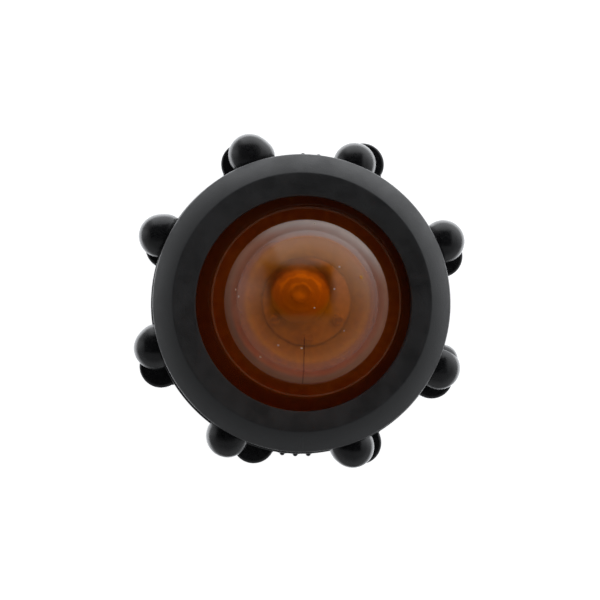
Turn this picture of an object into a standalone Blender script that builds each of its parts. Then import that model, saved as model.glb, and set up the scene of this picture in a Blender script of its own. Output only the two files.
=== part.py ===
"""Raised pavement marker with a lit amber dome. Metres, +Z up, origin at the middle of the flat underside.

A base cup is grouted into a cored hole up to its shoulder. The lamp stands in the cup, the dome lens closes it on a
gasket, and a twist-lock collar with a rubber bezel holds the lens down. The collar turns an eighth of a turn about Z.
An on/off button is recessed in the underside and moves up when it is pressed.
"""

import math

import bmesh
import bpy
from mathutils import Matrix, Vector

# Driving dimensions. The dome and the lamp under it stand a little off the axis, as the bezel's bore does.
GAP = 0.0003
ROUND_STEPS = 60
BASE_RADIUS = 0.0430
SHOULDER_Z = 0.022
FLOOR_TOP_Z = 0.004
NECK_RADIUS = 0.035
CAVITY_RADIUS = 0.0325
NECK_TOP_Z = 0.0272
LOBE_RADIUS = 0.0062
LOBE_TOP_Z = 0.020
LOBE_BOTTOM_Z = 0.003
GRIP_RADIUS = 0.0062
COLLAR_RADIUS = 0.0423
COLLAR_BORE = 0.0372
COLLAR_LIP_RADIUS = 0.0314
BEZEL_RADIUS = 0.0423
BEZEL_TOP_Z = 0.0352
BEZEL_FLAT_RADIUS = 0.0365
BEZEL_BORE = 0.0304
BEZEL_BORE_TOP_Z = 0.0347
BEZEL_BORE_XY = (0.0004, -0.0003)
LAMP_XY = (0.0013, 0.0003)
LENS_FLANGE_RADIUS = 0.0344
LENS_FLANGE_Z = (0.0288, 0.0310)
LENS_GROOVE_RADIUS = 0.0273
LENS_GROOVE_Z = 0.0302
DOME_RADIUS = 0.0233
DOME_TOP_Z = 0.0495
DOME_WALL = 0.0034
BAYONET_COUNT = 4
BAYONET_WIDTH_DEG = 36.0
BUTTON_XY = (0.0, -0.020)
BUTTON_TRAVEL = 0.0012
CELL_RADIUS = 0.01645
CELL_XY = (0.0, 0.009)
CELL_Z = (0.0058, 0.0158)
BOARD_RADIUS = 0.0315
BOARD_Z = (0.0172, 0.0188)
STANDOFF_DEG = (50.0, 170.0, 290.0)
STANDOFF_REACH = 0.0278
LED_BOARD_RADIUS = 0.0125
LED_BOARD_Z = (0.0307, 0.0319)
LED_SCREW_REACH = 0.0104
LED_SCREW_DEG = (210.0, 330.0)
OPTIC_RADIUS = 0.0083
OPTIC_XY = (-0.0005, 0.0025)

# Where the anchor lobes and the grips stand round the axis, in degrees, with each one's reach from the axis.
ANCHOR_LOBES = ((19, 0.0431), (66, 0.0443), (112.5, 0.0438), (157, 0.0418),
                (204, 0.0439), (251.2, 0.0418), (293.3, 0.0434), (331, 0.0433))
GRIPS = ((23.7, 0.0447), (69, 0.0430), (109, 0.0451), (154.3, 0.0447),
         (197, 0.0435), (241, 0.0432), (290, 0.0434), (335, 0.0436))
INDEX_KNOB = (338.5, 0.0437)
INDEX_KNOB_RADIUS = 0.0044
KEY_RIBS_DEG = (83, 89, 263, 268, 273)
KEY_RIB_RADIUS = 0.0008

NYLON_BLACK = ("nylon_black", (0.010, 0.010, 0.011), 0.38, 0.0)
RUBBER_BLACK = ("rubber_black", (0.014, 0.014, 0.015), 0.55, 0.0)
LENS_AMBER = ("lens_amber", (0.60, 0.16, 0.01), 0.08, 0.0)
SEAL_RUBBER = ("seal_rubber", (0.02, 0.02, 0.02), 0.7, 0.0)
ACETAL_WHITE = ("acetal_white", (0.75, 0.75, 0.72), 0.4, 0.0)
OPTIC_CLEAR = ("optic_clear", (0.80, 0.78, 0.72), 0.06, 0.0)
EMITTER_YELLOW = ("emitter_yellow", (0.85, 0.60, 0.10), 0.3, 0.0)
BOARD_WHITE = ("board_white", (0.78, 0.78, 0.75), 0.35, 0.0)
BOARD_GREEN = ("board_green", (0.02, 0.16, 0.06), 0.4, 0.0)
DISH_SILVER = ("dish_silver", (0.80, 0.80, 0.80), 0.25, 1.0)
CARRIER_GREY = ("carrier_grey", (0.35, 0.35, 0.36), 0.5, 0.0)
CHIP_BLACK = ("chip_black", (0.02, 0.02, 0.02), 0.5, 0.0)
CELL_SLEEVE = ("cell_sleeve", (0.10, 0.22, 0.42), 0.35, 0.0)
CONTACT_STEEL = ("contact_steel", (0.72, 0.70, 0.64), 0.25, 1.0)
SCREW_STEEL = ("screw_steel", (0.62, 0.62, 0.64), 0.3, 1.0)
STANDOFF_BRASS = ("standoff_brass", (0.75, 0.57, 0.25), 0.3, 1.0)
LEAD_RED = ("lead_red", (0.50, 0.03, 0.02), 0.5, 0.0)
LEAD_BLACK = ("lead_black", (0.02, 0.02, 0.02), 0.5, 0.0)
BUTTON_RED = ("button_red", (0.45, 0.04, 0.03), 0.5, 0.0)
PACK_PAPER = ("pack_paper", (0.80, 0.79, 0.74), 0.8, 0.0)


def clear_scene():
    for thing in list(bpy.data.objects):
        bpy.data.objects.remove(thing)


def finish(name, finish_values):
    """The named Principled material, made once."""
    label, colour, roughness, metallic = finish_values
    found = bpy.data.materials.get(label)
    if found is None:
        found = bpy.data.materials.new(label)
        found.use_nodes = True
        shader = found.node_tree.nodes["Principled BSDF"]
        shader.inputs["Base Color"].default_value = (*colour, 1.0)
        shader.inputs["Roughness"].default_value = roughness
        shader.inputs["Metallic"].default_value = metallic
    bpy.data.objects[name].data.materials.append(found)


def place(name, bm, finish_values):
    """Turns the working mesh into a named object with its material, smooth except at real corners."""
    bmesh.ops.recalc_face_normals(bm, faces=bm.faces)
    mesh = bpy.data.meshes.new(name)
    bm.to_mesh(mesh)
    bm.free()
    mesh.shade_smooth()
    mesh.set_sharp_from_angle(angle=math.radians(35.0))
    thing = bpy.data.objects.new(name, mesh)
    bpy.context.scene.collection.objects.link(thing)
    finish(name, finish_values)
    return thing


def cutter(name, bm):
    """A helper that a Boolean reads; it isn't a piece of the marker."""
    thing = place(name, bm, NYLON_BLACK)
    thing.hide_render = True
    thing.display_type = "WIRE"
    return thing


def boolean(thing, other, operation):
    modifier = thing.modifiers.new(other.name, "BOOLEAN")
    modifier.operation = operation
    modifier.object = other


def spin_profile(bm, profile, steps=ROUND_STEPS, centre=(0.0, 0.0)):
    """Turns a profile of (radius, z) points about a vertical axis. A profile that ends on the axis stays open."""
    verts = [bm.verts.new((centre[0] + radius, centre[1], z)) for radius, z in profile]
    edges = [bm.edges.new(pair) for pair in zip(verts, verts[1:])]
    if profile[0][0] > 0.0:
        edges.append(bm.edges.new((verts[-1], verts[0])))
    bmesh.ops.spin(bm, geom=verts + edges, cent=(*centre, 0.0), axis=(0, 0, 1), angle=math.tau, steps=steps,
                   use_merge=True)
    bmesh.ops.remove_doubles(bm, verts=bm.verts, dist=1e-7)


def turned(name, profile, finish_values, steps=ROUND_STEPS, centre=(0.0, 0.0)):
    bm = bmesh.new()
    spin_profile(bm, profile, steps, centre)
    return place(name, bm, finish_values)


def ring_stack(name, rows, finish_values, steps=ROUND_STEPS):
    """Skins rings that each have their own centre, from rows of (centre, radius, z). The rows close into a loop,
    unless the first and the last are points."""
    bm = bmesh.new()
    pointed = rows[0][1] == 0.0
    rings_made = []
    for centre, radius, z in rows:
        if radius == 0.0:
            rings_made.append([bm.verts.new((*centre, z))] * steps)
        else:
            turns = [math.tau * i / steps for i in range(steps)]
            rings_made.append([bm.verts.new((centre[0] + radius * math.cos(a), centre[1] + radius * math.sin(a), z))
                               for a in turns])
    pairs = list(zip(rings_made, rings_made[1:]))
    if not pointed:
        pairs.append((rings_made[-1], rings_made[0]))
    for before, after in pairs:
        for i in range(steps):
            j = (i + 1) % steps
            corners = (before[i], before[j], after[j], after[i])
            bm.faces.new(tuple(dict.fromkeys(corners)))
    return place(name, bm, finish_values)


def add_arc_block(bm, radii, heights, middle_deg, width_deg, steps=6):
    """A curved block between two radii and two heights, centred on an angle."""
    start = math.radians(middle_deg - width_deg / 2)
    corners = ((radii[0], heights[0]), (radii[1], heights[0]), (radii[1], heights[1]), (radii[0], heights[1]))
    verts = [bm.verts.new((r * math.cos(start), r * math.sin(start), z)) for r, z in corners]
    face = bm.faces.new(verts)
    bmesh.ops.spin(bm, geom=[face, *face.edges, *verts], cent=(0, 0, 0), axis=(0, 0, 1),
                   angle=math.radians(width_deg), steps=steps)


def add_cylinder(bm, xy, heights, radius, sides=24):
    place_at = Matrix.Translation((xy[0], xy[1], sum(heights) / 2))
    bmesh.ops.create_cone(bm, cap_ends=True, segments=sides, radius1=radius, radius2=radius,
                          depth=heights[1] - heights[0], matrix=place_at)


def block(name, centre, size, finish_values, rounding=0.0004):
    """A small box with its edges broken."""
    bm = bmesh.new()
    bmesh.ops.create_cube(bm, size=1.0, matrix=Matrix.Translation(centre) @ Matrix.Diagonal((*size, 1.0)))
    bmesh.ops.bevel(bm, geom=bm.edges[:], offset=rounding, segments=1, affect="EDGES")
    return place(name, bm, finish_values)


def at_angle(reach, degrees, centre=(0.0, 0.0)):
    return (centre[0] + reach * math.cos(math.radians(degrees)), centre[1] + reach * math.sin(math.radians(degrees)))


def arc(centre, radius, start_deg, end_deg, count):
    """Points (r, z) along an arc of a profile, both ends included."""
    angles = [math.radians(start_deg + (end_deg - start_deg) * i / (count - 1)) for i in range(count)]
    return [(centre[0] + radius * math.cos(a), centre[1] + radius * math.sin(a)) for a in angles]


def half_ball(radius, low, top):
    """The profile of a knob: flat underneath with a broken edge, round on top."""
    edge = 0.0002
    squash = (top - low - edge) / radius
    side = [(r, low + edge + z * squash) for r, z in arc((0, 0), radius, 0, 90, 6)[:-1]]
    return ((0, low), (radius - edge, low), *side, (0, top))


def base_cup():
    """The cup that is grouted in: anchor lobes, key ribs, cored wall, bayonet ears and the button's boss."""
    chamfer = 0.0008
    bm = bmesh.new()
    spin_profile(bm, ((0, 0), (BASE_RADIUS - chamfer, 0), (BASE_RADIUS, chamfer),
                      (BASE_RADIUS, SHOULDER_Z - chamfer), (BASE_RADIUS - chamfer, SHOULDER_Z),
                      (NECK_RADIUS, SHOULDER_Z), (NECK_RADIUS, NECK_TOP_Z), (CAVITY_RADIUS, NECK_TOP_Z),
                      (CAVITY_RADIUS, FLOOR_TOP_Z), (0, FLOOR_TOP_Z)))
    cup = place("base_cup", bm, NYLON_BLACK)

    lobes = bmesh.new()
    for degrees, reach in ANCHOR_LOBES:
        spin_profile(lobes, ((0, LOBE_BOTTOM_Z), (LOBE_RADIUS - chamfer, LOBE_BOTTOM_Z),
                             (LOBE_RADIUS, LOBE_BOTTOM_Z + chamfer), (LOBE_RADIUS, LOBE_TOP_Z - chamfer),
                             (LOBE_RADIUS - chamfer, LOBE_TOP_Z), (0, LOBE_TOP_Z)),
                     steps=24, centre=at_angle(reach, degrees))
    boolean(cup, cutter("cut_anchor_lobes", lobes), "UNION")

    ribs = bmesh.new()
    for degrees in KEY_RIBS_DEG:
        add_cylinder(ribs, at_angle(BASE_RADIUS, degrees), (LOBE_BOTTOM_Z, LOBE_TOP_Z - chamfer), KEY_RIB_RADIUS, 10)
    boolean(cup, cutter("cut_key_ribs", ribs), "UNION")

    boss_overlap = 0.001
    boss = bmesh.new()
    add_cylinder(boss, BUTTON_XY, (FLOOR_TOP_Z - boss_overlap, 0.0085), 0.0082, 32)
    boolean(cup, cutter("cut_button_boss", boss), "UNION")

    ears = bmesh.new()
    for i in range(BAYONET_COUNT):
        middle = i * 360.0 / BAYONET_COUNT
        add_arc_block(ears, (NECK_RADIUS - boss_overlap, 0.0368), (0.0256, 0.0268), middle, BAYONET_WIDTH_DEG)
    boolean(cup, cutter("cut_bayonet_ears", ears), "UNION")

    coring = bmesh.new()
    wall_between = 5.0
    for i in range(len(ANCHOR_LOBES)):
        pitch = 360.0 / len(ANCHOR_LOBES)
        add_arc_block(coring, (0.0352, 0.0400), (-0.001, 0.0175), i * pitch, pitch - wall_between, 7)
    boolean(cup, cutter("cut_coring", coring), "DIFFERENCE")

    button_well = bmesh.new()
    add_cylinder(button_well, BUTTON_XY, (-0.001, 0.0040), 0.0064, 32)
    boolean(cup, cutter("cut_button_well", button_well), "DIFFERENCE")
    button_hole = bmesh.new()
    add_cylinder(button_hole, BUTTON_XY, (0.0035, 0.0095), 0.0026, 20)
    boolean(cup, cutter("cut_button_hole", button_hole), "DIFFERENCE")


def locking_collar():
    """The ring that turns: eight half-ball grips outside, four bayonet tabs inside, a lip over the lens flange.

    A smaller knob beside one grip marks the locked position.
    """
    low, shoulder = SHOULDER_Z + GAP, 0.0286
    bm = bmesh.new()
    spin_profile(bm, ((COLLAR_BORE, low), (COLLAR_RADIUS - 0.0005, low), (COLLAR_RADIUS, low + 0.0005),
                      (COLLAR_RADIUS, shoulder), (0.0396, shoulder), (0.0396, 0.0306), (0.0366, 0.0332),
                      (0.0360, 0.0336), (COLLAR_LIP_RADIUS, 0.0336), (COLLAR_LIP_RADIUS, 0.0322),
                      (0.0356, 0.0322), (0.0356, 0.0290), (COLLAR_BORE, 0.0290)))
    collar = place("locking_collar", bm, NYLON_BLACK)

    inside = bmesh.new()
    add_cylinder(inside, (0, 0), (low - 0.001, shoulder + 0.001), 0.0392, ROUND_STEPS)
    roots = cutter("cut_grip_roots", inside)
    knob_top = low + INDEX_KNOB_RADIUS
    for name, places, radius, top in (("cut_grips", GRIPS, GRIP_RADIUS, shoulder - 0.0001),
                                      ("cut_index_knob", (INDEX_KNOB,), INDEX_KNOB_RADIUS, knob_top)):
        knobs = bmesh.new()
        for degrees, reach in places:
            spin_profile(knobs, half_ball(radius, low + 0.0001, top), steps=20, centre=at_angle(reach, degrees))
        balls = cutter(name, knobs)
        boolean(balls, roots, "DIFFERENCE")
        boolean(collar, balls, "UNION")

    tabs = bmesh.new()
    for i in range(BAYONET_COUNT):
        middle = i * 360.0 / BAYONET_COUNT
        add_arc_block(tabs, (0.0354, COLLAR_BORE + 0.0012), (0.0228, 0.0252), middle, BAYONET_WIDTH_DEG)
    boolean(collar, cutter("cut_bayonet_tabs", tabs), "UNION")


def bezel():
    """The rubber bumper ring over the collar's lip: a band that dishes inwards, a sloping outer band, a round edge."""
    axis = (0.0, 0.0)
    edge_radius, skin = 0.0012, 0.0003
    edge = arc((BEZEL_RADIUS - edge_radius, 0.0304), edge_radius, 0, 50, 4)
    outside = [(axis, radius, z) for radius, z in ((BEZEL_RADIUS, 0.0289), *edge, (0.0392, 0.0335),
                                                   (BEZEL_FLAT_RADIUS, BEZEL_TOP_Z))]
    bore = [(BEZEL_BORE_XY, radius, z) for radius, z in ((BEZEL_BORE + 0.0003, BEZEL_BORE_TOP_Z),
                                                         (BEZEL_BORE, BEZEL_BORE_TOP_Z - 0.0003), (BEZEL_BORE, 0.0324))]
    over_lip = COLLAR_LIP_RADIUS - skin
    inside = [(axis, radius, z) for radius, z in ((over_lip, 0.0324), (over_lip, 0.0339), (0.0361, 0.0339),
                                                  (0.0368, 0.0335), (0.0399, 0.0308), (0.0399, 0.0289))]
    ring_stack("bezel", outside + bore + inside, RUBBER_BLACK, steps=72)


def lens():
    """The amber casting: a flat flange on the axis, and a groove and a hollow elliptical dome about the lamp's axis."""
    height = DOME_TOP_Z - LENS_GROOVE_Z
    inner_radius, inner_height = DOME_RADIUS - DOME_WALL, DOME_TOP_Z - DOME_WALL - LENS_FLANGE_Z[0]
    count = 8
    quarter = [math.radians(90.0 * i / (count - 1)) for i in range(count)]
    outside = [(DOME_RADIUS * math.cos(a), LENS_GROOVE_Z + height * math.sin(a)) for a in quarter[:-1]]
    inside = [(inner_radius * math.cos(a), LENS_FLANGE_Z[0] + inner_height * math.sin(a)) for a in quarter[:-1]]
    groove = ((LENS_GROOVE_RADIUS, LENS_GROOVE_Z), (LENS_GROOVE_RADIUS + 0.0002, LENS_FLANGE_Z[1] - 0.0002),
              (LENS_GROOVE_RADIUS + 0.0004, LENS_FLANGE_Z[1]))
    rows = [(LAMP_XY, radius, z) for radius, z in ((0, DOME_TOP_Z), *reversed(outside), *groove)]
    rows += [((0.0, 0.0), LENS_FLANGE_RADIUS, z) for z in reversed(LENS_FLANGE_Z)]
    rows += [(LAMP_XY, radius, z) for radius, z in (*inside, (0, LENS_FLANGE_Z[0] + inner_height))]
    ring_stack("lens", rows, LENS_AMBER)


def rings():
    """The gasket under the lens flange and the slip ring over it."""
    turned("lens_gasket", ((0.0328, 0.0275), (0.0347, 0.0275), (0.0347, 0.0285), (0.0328, 0.0285)), SEAL_RUBBER, 48)
    turned("slip_ring", ((0.0320, 0.0313), (0.0346, 0.0313), (0.0346, 0.0319), (0.0320, 0.0319)), ACETAL_WHITE, 48)


def optic_and_emitter():
    """The moulded optic that stands over the LED, hollow underneath, with a dimple on top."""
    low, top = LED_BOARD_Z[1] + GAP, 0.0382
    turned("optic", ((0, top - 0.0010), (0.0018, top), (0.0042, top - 0.0004), (0.0066, top - 0.0018),
                     (OPTIC_RADIUS, top - 0.0038), (0.0078, low + 0.0010), (0.0070, low), (0.0034, low),
                     (0.0034, low + 0.0022), (0.0020, low + 0.0032), (0, low + 0.0034)), OPTIC_CLEAR, 32, OPTIC_XY)
    turned("led_emitter", ((0, low), (0.0022, low), (0.0022, low + 0.0008), (0.0016, low + 0.0017),
                           (0, low + 0.0023)), EMITTER_YELLOW, 20, OPTIC_XY)


def led_board():
    bm = bmesh.new()
    add_cylinder(bm, LAMP_XY, LED_BOARD_Z, LED_BOARD_RADIUS, 40)
    board = place("led_board", bm, BOARD_WHITE)
    holes = bmesh.new()
    for degrees in LED_SCREW_DEG:
        add_cylinder(holes, at_angle(LED_SCREW_REACH, degrees, LAMP_XY), (0.0280, 0.0330), 0.0012, 12)
    boolean(board, cutter("cut_led_board_holes", holes), "DIFFERENCE")


def screw(name, xy, head_z, head_radius, head_height, shank_radius, shank_length, slot_width):
    """A pan-head screw pointing down, with a straight drive slot."""
    profile = ((0, head_z + head_height), (head_radius * 0.7, head_z + head_height),
               (head_radius, head_z + head_height * 0.45), (head_radius, head_z), (shank_radius, head_z),
               (shank_radius, head_z - shank_length), (0, head_z - shank_length))
    fastener = turned(name, profile, SCREW_STEEL, 16, xy)
    slot = bmesh.new()
    size = (head_radius * 1.3, slot_width, head_height * 1.2, 1.0)
    top = Vector((xy[0], xy[1], head_z + head_height * 1.1))
    bmesh.ops.create_cube(slot, size=1.0, matrix=Matrix.Translation(top) @ Matrix.Diagonal(size))
    boolean(fastener, cutter("cut_slot_" + name, slot), "DIFFERENCE")


def led_screws():
    for i, degrees in enumerate(LED_SCREW_DEG, start=1):
        screw(f"led_board_screw_{i}", at_angle(LED_SCREW_REACH, degrees, LAMP_XY), LED_BOARD_Z[1] + GAP, 0.0016,
              0.0011, 0.0008, 0.0030, 0.0005)


def dusk_sensor():
    block("dusk_sensor", (*at_angle(0.0102, 270.0, LAMP_XY), LED_BOARD_Z[1] + GAP + 0.0005), (0.0032, 0.0016, 0.0010),
          CHIP_BLACK, 0.0002)


def reflector():
    """A shallow dish on the carrier, open in the middle for the board and its screws."""
    thickness = 0.0008
    inner, outer, low, high = 0.0130, 0.0190, 0.0300, 0.0322
    turned("reflector", ((inner, low), (outer - 0.0006, high - 0.0006), (outer, high), (outer, high + thickness),
                         (outer - 0.0010, high + thickness), (inner, low + thickness)), DISH_SILVER, 40, LAMP_XY)


def lamp_carrier():
    """The moulding that lifts the LED board into the dome and presses the driver board onto its standoffs."""
    tower, plate_top, plate_low = 0.0120, 0.0282, 0.0267
    skirt_low, tower_top = BOARD_Z[1] + GAP, LED_BOARD_Z[0] - GAP
    axis, lead_hole = (0.0, 0.0), 0.0040
    rows = [(axis, 0.0319, skirt_low), (axis, 0.0319, plate_top), (LAMP_XY, tower, plate_top),
            (LAMP_XY, tower, tower_top), (LAMP_XY, lead_hole, tower_top), (LAMP_XY, lead_hole, tower_top - 0.0016),
            (LAMP_XY, tower - 0.0014, tower_top - 0.0016), (LAMP_XY, tower - 0.0014, plate_low),
            (axis, 0.0304, plate_low), (axis, 0.0304, skirt_low)]
    carrier = ring_stack("lamp_carrier", rows, CARRIER_GREY, steps=48)
    feet = bmesh.new()
    for degrees in LED_SCREW_DEG:
        add_cylinder(feet, at_angle(LED_SCREW_REACH, degrees, LAMP_XY), (0.0268, tower_top - 0.0002), 0.0024, 16)
    boolean(carrier, cutter("cut_screw_bosses", feet), "UNION")
    holes = bmesh.new()
    for degrees in LED_SCREW_DEG:
        add_cylinder(holes, at_angle(LED_SCREW_REACH, degrees, LAMP_XY), (0.0275, tower_top + 0.001), 0.0011, 12)
    boolean(carrier, cutter("cut_screw_holes", holes), "DIFFERENCE")


def driver_board():
    """The round board over the cell, with the parts it carries and the screws that hold it."""
    bm = bmesh.new()
    add_cylinder(bm, (0, 0), BOARD_Z, BOARD_RADIUS, 48)
    board = place("driver_board", bm, BOARD_GREEN)
    holes = bmesh.new()
    for degrees in STANDOFF_DEG:
        add_cylinder(holes, at_angle(STANDOFF_REACH, degrees), (BOARD_Z[0] - 0.001, BOARD_Z[1] + 0.001), 0.0016, 14)
    boolean(board, cutter("cut_board_holes", holes), "DIFFERENCE")

    top = BOARD_Z[1] + GAP
    for i, degrees in enumerate(STANDOFF_DEG, start=1):
        xy = at_angle(STANDOFF_REACH, degrees)
        shank_end = top - 0.0060
        post_top = BOARD_Z[0] - GAP
        turned(f"standoff_{i}", ((0, FLOOR_TOP_Z + GAP), (0.0028, FLOOR_TOP_Z + GAP), (0.0028, post_top),
                                 (0.0017, post_top), (0.0017, shank_end - 0.001), (0, shank_end - 0.001)),
               STANDOFF_BRASS, 6, xy)
        screw(f"board_screw_{i}", xy, top, 0.0019, 0.0013, 0.0011, 0.0058, 0.0006)

    turned("capacitor", ((0, top), (0.0046, top), (0.0046, top + 0.0008), (0.0050, top + 0.0012),
                         (0.0050, top + 0.0062), (0.0045, top + 0.0067), (0, top + 0.0067)), CHIP_BLACK, 28,
           (-0.014, 0.010))
    turned("inductor", ((0, top), (0.0045, top), (0.0045, top + 0.0010), (0.0033, top + 0.0014),
                        (0.0033, top + 0.0030), (0.0045, top + 0.0034), (0.0045, top + 0.0044), (0, top + 0.0044)),
           CHIP_BLACK, 28, (0.013, 0.012))
    block("controller_chip", (-0.011, -0.010, top + 0.0006), (0.0060, 0.0060, 0.0012), CHIP_BLACK, 0.0002)
    block("lead_connector", (0.0, -0.0095, top + 0.0022), (0.0080, 0.0046, 0.0044), ACETAL_WHITE)


def lamp_leads():
    """Two leads from the connector up through the carrier's middle to the LED board."""
    wire_radius = 0.0006
    for name, side, finish_values in (("lamp_lead_red", 1, LEAD_RED), ("lamp_lead_black", -1, LEAD_BLACK)):
        start = Vector((side * 0.0020, -0.0095, BOARD_Z[1] + 0.0050))
        end = Vector((LAMP_XY[0] + side * 0.0016, LAMP_XY[1] - 0.0018, LED_BOARD_Z[0] - GAP))
        curve = bpy.data.curves.new(name, "CURVE")
        curve.dimensions = "3D"
        curve.bevel_depth = wire_radius
        curve.bevel_resolution = 2
        curve.resolution_u = 8
        curve.use_fill_caps = True
        spline = curve.splines.new("BEZIER")
        spline.bezier_points.add(1)
        for point, where, pull in zip(spline.bezier_points, (start, end), (0.0028, 0.0032)):
            point.co = where
            point.handle_left = where - Vector((0, 0, pull))
            point.handle_right = where + Vector((0, 0, pull))
        thing = bpy.data.objects.new(name, curve)
        bpy.context.scene.collection.objects.link(thing)
        finish(name, finish_values)


def cell():
    """The wafer cell in its cradle, with a plate under it and a sprung strip over it."""
    wall, floor = 0.0011, 0.0008
    low = FLOOR_TOP_Z + GAP
    bore = CELL_RADIUS + GAP
    turned("cell_cradle", ((0, low), (bore + wall, low), (bore + wall, 0.0112), (bore, 0.0112),
                           (bore, low + floor), (0, low + floor)), ACETAL_WHITE, 36, CELL_XY)
    rim = 0.0006
    turned("cell", ((0, CELL_Z[1]), (0.0060, CELL_Z[1]), (0.0060, CELL_Z[1] - rim),
                    (CELL_RADIUS - rim, CELL_Z[1] - rim), (CELL_RADIUS, CELL_Z[1] - 2 * rim),
                    (CELL_RADIUS, CELL_Z[0] + rim), (CELL_RADIUS - rim, CELL_Z[0]), (0, CELL_Z[0])),
           CELL_SLEEVE, 32, CELL_XY)
    plate_top, plate_low = CELL_Z[0] - 0.0002, low + floor + 0.0002
    turned("contact_plate", ((0, plate_low), (0.0050, plate_low), (0.0050, plate_top), (0, plate_top)),
           CONTACT_STEEL, 24, CELL_XY)

    thickness, half_width = 0.0003, 0.0022
    bm = bmesh.new()
    low_z, high_z = CELL_Z[1] + 0.0002, BOARD_Z[0] - GAP
    rise = high_z - low_z - thickness
    count = 9
    rows = []
    for i in range(count):
        share = i / (count - 1)
        y = CELL_XY[1] - 0.0100 + 0.0130 * share
        z = low_z + rise * (0.5 + 0.5 * math.cos(math.pi * share))
        rows.append([bm.verts.new((side * half_width, y, z + up))
                     for side, up in ((-1, 0), (1, 0), (1, thickness), (-1, thickness))])
    for before, after in zip(rows, rows[1:]):
        for k in range(4):
            bm.faces.new((before[k], before[(k + 1) % 4], after[(k + 1) % 4], after[k]))
    bm.faces.new(rows[0])
    bm.faces.new(rows[-1])
    place("contact_spring", bm, CONTACT_STEEL)


def power_button():
    """The button in the underside, on its own axis, with its seal ring and the switch that it pushes."""
    cap_low, cap_top, stem_top = 0.0008, 0.0022, 0.0121
    axis = bpy.data.objects.new("button_axis", None)
    axis.location = (*BUTTON_XY, 0.0)
    bpy.context.scene.collection.objects.link(axis)
    button = turned("power_button", ((0, cap_low), (0.0050, cap_low), (0.0057, cap_low + 0.0005), (0.0057, cap_top),
                                     (0.0022, cap_top), (0.0022, stem_top), (0, stem_top)), BUTTON_RED, 28)
    button.parent = axis
    turned("button_seal", ((0.0026, 0.0088), (0.0046, 0.0088), (0.0046, 0.0098), (0.0026, 0.0098)), SEAL_RUBBER, 24,
           BUTTON_XY)
    switch_low = stem_top + BUTTON_TRAVEL + GAP
    switch_top = BOARD_Z[0] - GAP
    block("switch", (*BUTTON_XY, (switch_low + switch_top) / 2), (0.0062, 0.0062, switch_top - switch_low),
          CHIP_BLACK, 0.0003)


def desiccant_pack():
    block("desiccant_pack", (-0.0215, -0.0120, FLOOR_TOP_Z + GAP + 0.0020), (0.0100, 0.0140, 0.0040), PACK_PAPER,
          0.0015)


clear_scene()
base_cup()
locking_collar()
bezel()
lens()
rings()
optic_and_emitter()
led_board()
led_screws()
dusk_sensor()
reflector()
lamp_carrier()
driver_board()
lamp_leads()
cell()
power_button()
desiccant_pack()
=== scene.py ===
"""Raised pavement marker with an amber glass dome: its finished look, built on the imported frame.

Metres, +Z up, origin at the middle of the flat underside. The sections follow the marker as it is put together:
studio, base cup, button, cell, driver board, lamp carrier, lamp, dome lens, seals, locking collar, bezel.
"""

import math

import bpy
import numpy as np
from mathutils import Matrix, Vector


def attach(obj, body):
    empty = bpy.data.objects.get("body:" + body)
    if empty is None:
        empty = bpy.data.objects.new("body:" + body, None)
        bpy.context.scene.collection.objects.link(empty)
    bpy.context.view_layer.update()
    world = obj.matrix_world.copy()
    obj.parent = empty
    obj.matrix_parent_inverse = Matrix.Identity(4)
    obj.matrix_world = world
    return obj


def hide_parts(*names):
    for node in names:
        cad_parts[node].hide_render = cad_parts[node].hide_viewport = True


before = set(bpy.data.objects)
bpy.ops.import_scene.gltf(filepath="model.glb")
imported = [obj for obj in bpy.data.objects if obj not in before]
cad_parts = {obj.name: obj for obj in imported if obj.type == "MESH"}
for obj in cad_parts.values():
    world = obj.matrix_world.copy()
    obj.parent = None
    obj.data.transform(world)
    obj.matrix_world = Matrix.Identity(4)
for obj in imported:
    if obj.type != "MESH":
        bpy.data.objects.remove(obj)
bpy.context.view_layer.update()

# ---------------------------------------------------------------------------------------------------------------------
# The studio. A white table, a wide soft window light on the far side (+Y), dimmer walls to the right, left and front,
# and a dark patch overhead where the camera's stand is. The camera looks almost straight down on the dome.
CAMERA_AIM = Vector((-0.00068, 0.00059, 0.0352))
CAMERA_LEAN = Vector((-0.035, -0.04, 1.0))
CAMERA_DISTANCE = 0.650
CAMERA_LENS = 138.6


def wire(tree, kind, inputs=(), **settings):
    """Adds a node; inputs is pairs of (socket, value), where a value that is a socket is linked."""
    node = tree.nodes.new(kind)
    for key, value in settings.items():
        setattr(node, key, value)
    for socket, value in inputs:
        if isinstance(value, bpy.types.NodeSocket):
            tree.links.new(value, node.inputs[socket])
        else:
            node.inputs[socket].default_value = value
    return node


def calc(tree, operation, a, b=0.0):
    return wire(tree, "ShaderNodeMath", ((0, a), (1, b)), operation=operation).outputs[0]


def ease(tree, value, low, high, start=0.0, end=1.0):
    """Smooth step: start below low, end above high, an S-curve between."""
    node = wire(tree, "ShaderNodeMapRange", ((0, value), (1, low), (2, high), (3, start), (4, end)),
                interpolation_type="SMOOTHSTEP")
    return node.outputs[0]


def product(tree, *factors):
    result = factors[0]
    for factor in factors[1:]:
        result = calc(tree, "MULTIPLY", result, factor)
    return result


def band(tree, value, middle, inner, outer):
    """One within the inner distance of the middle, zero beyond the outer distance, an S-curve between."""
    off = calc(tree, "ABSOLUTE", calc(tree, "SUBTRACT", value, middle))
    return ease(tree, off, inner, outer, 1.0, 0.0)


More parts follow.
